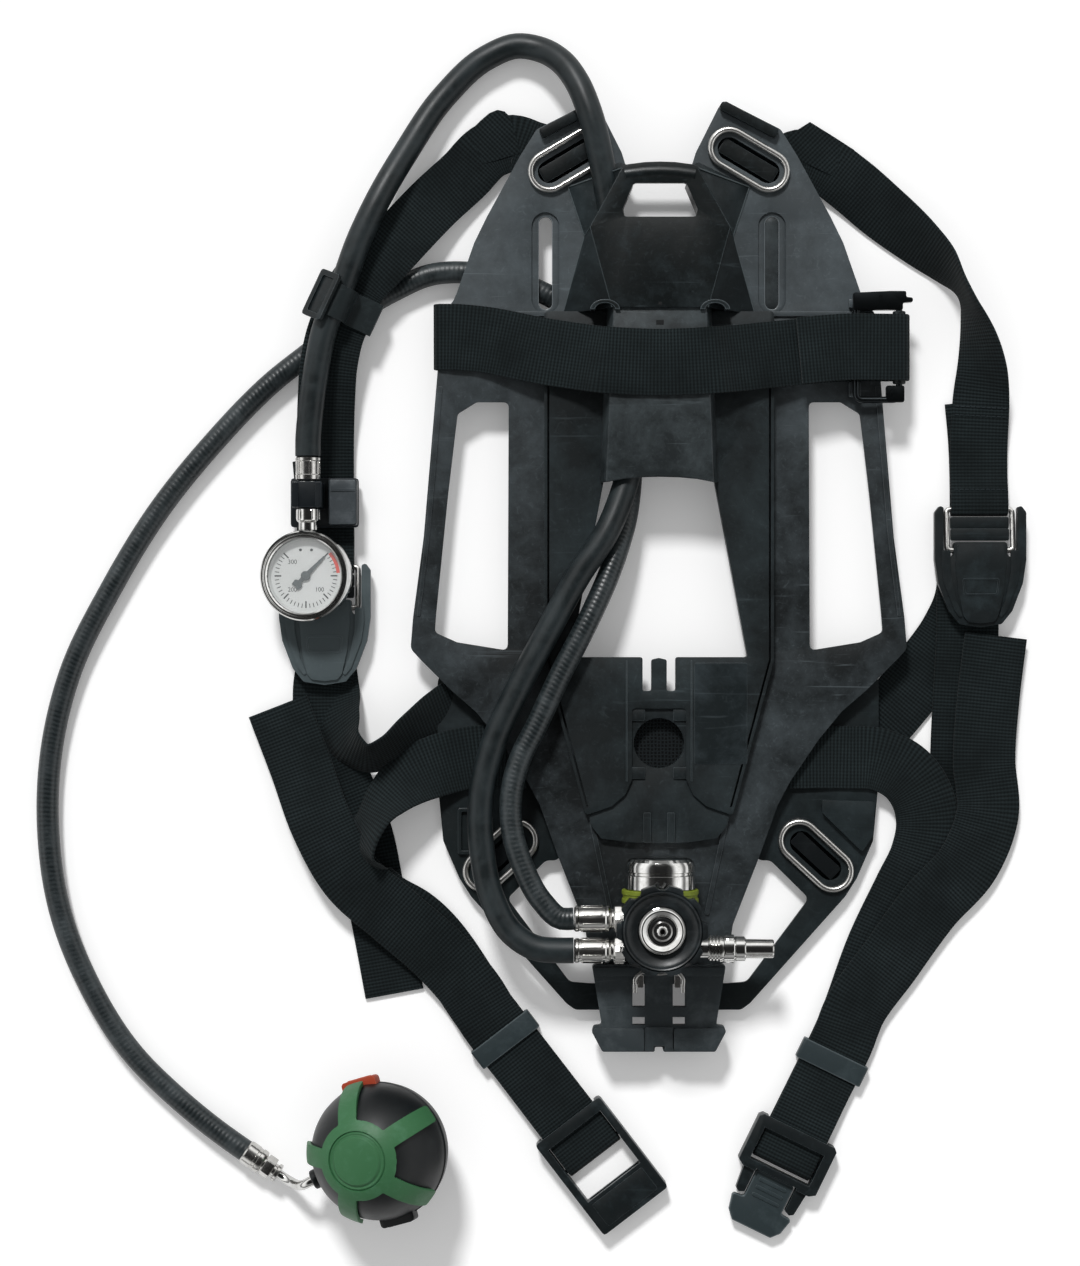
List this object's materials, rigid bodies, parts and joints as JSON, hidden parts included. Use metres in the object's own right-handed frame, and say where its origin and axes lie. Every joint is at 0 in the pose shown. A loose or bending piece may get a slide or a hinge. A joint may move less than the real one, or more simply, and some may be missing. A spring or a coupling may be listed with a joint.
{
  "type": "breathing apparatus carrying set",
  "caption": "Breathing apparatus carrying set: moulded backplate with webbing harness, pressure reducer with handwheel, hoses, pressure gauge and demand valve.",
  "frame": {"origin": "middle of the lumbar pad's resting face, under the plate's round hole, on the plate's line of symmetry", "axes": "+Z away from the wearer's back, +Y towards the shoulders, +X to the right when the pack is seen from behind the wearer"},
  "size_m": [0.6133, 0.7278, 0.0848],
  "materials": {
    "plate": "moulded, satin",
    "pad": "mesh",
    "steel": "bright",
    "webbing": "woven",
    "buckle": "satin",
    "rubber": "smooth",
    "chrome": "polished",
    "olive": "satin",
    "dial": "printed",
    "lens": "clear",
    "brass": "satin",
    "green": "satin",
    "red": "satin"
  },
  "bodies": {
    "pack": {"backplate": "plate", "foot_bracket": "plate", "reducer_body": "plate", "lumbar_pad": "pad", "reducer_clip": "steel", "ring_upper_left": "steel", "ring_upper_right": "steel", "ring_lower_left": "steel", "ring_lower_right": "steel", "strap_buckle": "steel", "adjuster_frame_left": "steel", "adjuster_frame_right": "steel", "reducer_spring": "steel", "cylinder_strap": "webbing", "shoulder_strap_left": "webbing", "shoulder_strap_right": "webbing", "pull_strap_left": "webbing", "pull_strap_right": "webbing", "waist_belt_left": "webbing", "waist_belt_right": "webbing", "buckle_socket": "buckle", "buckle_plug": "buckle", "gauge_holder": "buckle", "hose_keeper": "rubber", "supply_hose": "rubber", "gauge_hose": "rubber", "connector_seal": "rubber", "reducer_cap": "chrome", "connector_nipple": "chrome", "supply_ferrule": "chrome", "gauge_ferrule": "chrome", "whistle": "chrome", "valve_ferrule": "chrome", "swivel_elbow": "chrome", "stem_ferrule": "chrome", "gauge_stem": "chrome", "gauge_case": "chrome", "gauge_bezel": "chrome", "reducer_collar": "olive", "gauge_dial": "dial", "gauge_lens": "lens", "gauge_movement": "brass", "bourdon_tube": "brass"},
    "handwheel": {"handwheel": "plate"},
    "pointer": {"gauge_pointer": "buckle"},
    "left_adjuster": {"adjuster_body_left": "buckle"},
    "right_adjuster": {"adjuster_body_right": "buckle"},
    "left_keeper": {"belt_keeper_left": "buckle"},
    "right_keeper": {"belt_keeper_right": "buckle"},
    "latch": {"buckle_latch": "buckle"},
    "roller": {"strap_roller": "buckle"},
    "piston": {"reducer_piston": "steel"},
    "demand_valve": {"valve_housing": "buckle", "valve_diaphragm": "rubber", "valve_cover": "green"},
    "purge": {"purge_button": "green"},
    "bypass": {"bypass_button": "red"},
    "release": {"release_button": "buckle"}
  },
  "joints": [
    {"name": "handwheel_turn", "type": "hinge", "parent": "pack", "child": "handwheel", "pos_m": [0, -0.109, 0.0723], "axis": [0, 0, 1], "continuous": true},
    {"name": "pointer_sweep", "type": "hinge", "parent": "pack", "child": "pointer", "pos_m": [-0.212, 0.101, 0.028], "axis": [-0.1564, 0, 0.9877], "range_deg": [-270, 0], "stiffness_Nm_per_rad": 0.0002},
    {"name": "left_adjuster_tilt", "type": "hinge", "parent": "pack", "child": "left_adjuster", "pos_m": [-0.203, 0.082, 0.01], "axis": [-1, 0, 0], "range_deg": [0, 20]},
    {"name": "right_adjuster_tilt", "type": "hinge", "parent": "pack", "child": "right_adjuster", "pos_m": [0.196, 0.117, 0.01], "axis": [-1, 0, 0], "range_deg": [0, 20]},
    {"name": "left_keeper_slide", "type": "slide", "parent": "pack", "child": "left_keeper", "axis": [0.6088, -0.7934, 0], "range_m": [-0.01, 0.01]},
    {"name": "right_keeper_slide", "type": "slide", "parent": "pack", "child": "right_keeper", "axis": [-0.4384, -0.8988, 0], "range_m": [-0.01, 0.01]},
    {"name": "latch_flex", "type": "hinge", "parent": "pack", "child": "latch", "pos_m": [0.07171, -0.2658, 0.0048], "axis": [-0.8988, 0.4384, 0], "range_deg": [0, 8], "stiffness_Nm_per_rad": 0.5},
    {"name": "roller_turn", "type": "hinge", "parent": "pack", "child": "roller", "pos_m": [0.145, 0.239, 0.0259], "axis": [0, 1, 0], "continuous": true},
    {"name": "piston_slide", "type": "slide", "parent": "pack", "child": "piston", "axis": [0, -1, 0], "range_m": [0, 0.001], "stiffness_N_per_m": 3000},
    {"name": "valve_swivel", "type": "hinge", "parent": "pack", "child": "demand_valve", "pos_m": [-0.20491, -0.26184, 0.027], "axis": [0.9003, 0.4352, 0], "range_deg": [-30, 30]},
    {"name": "purge_press", "type": "slide", "parent": "demand_valve", "child": "purge", "axis": [0.2924, 0, -0.9563], "range_m": [0, 0.003], "stiffness_N_per_m": 400},
    {"name": "bypass_press", "type": "slide", "parent": "demand_valve", "child": "bypass", "axis": [0.2796, -0.9563, 0.0855], "range_m": [0, 0.0025], "stiffness_N_per_m": 400},
    {"name": "release_press", "type": "slide", "parent": "demand_valve", "child": "release", "axis": [-0.2796, 0.9563, -0.0855], "range_m": [0, 0.0025], "stiffness_N_per_m": 400}
  ]
}
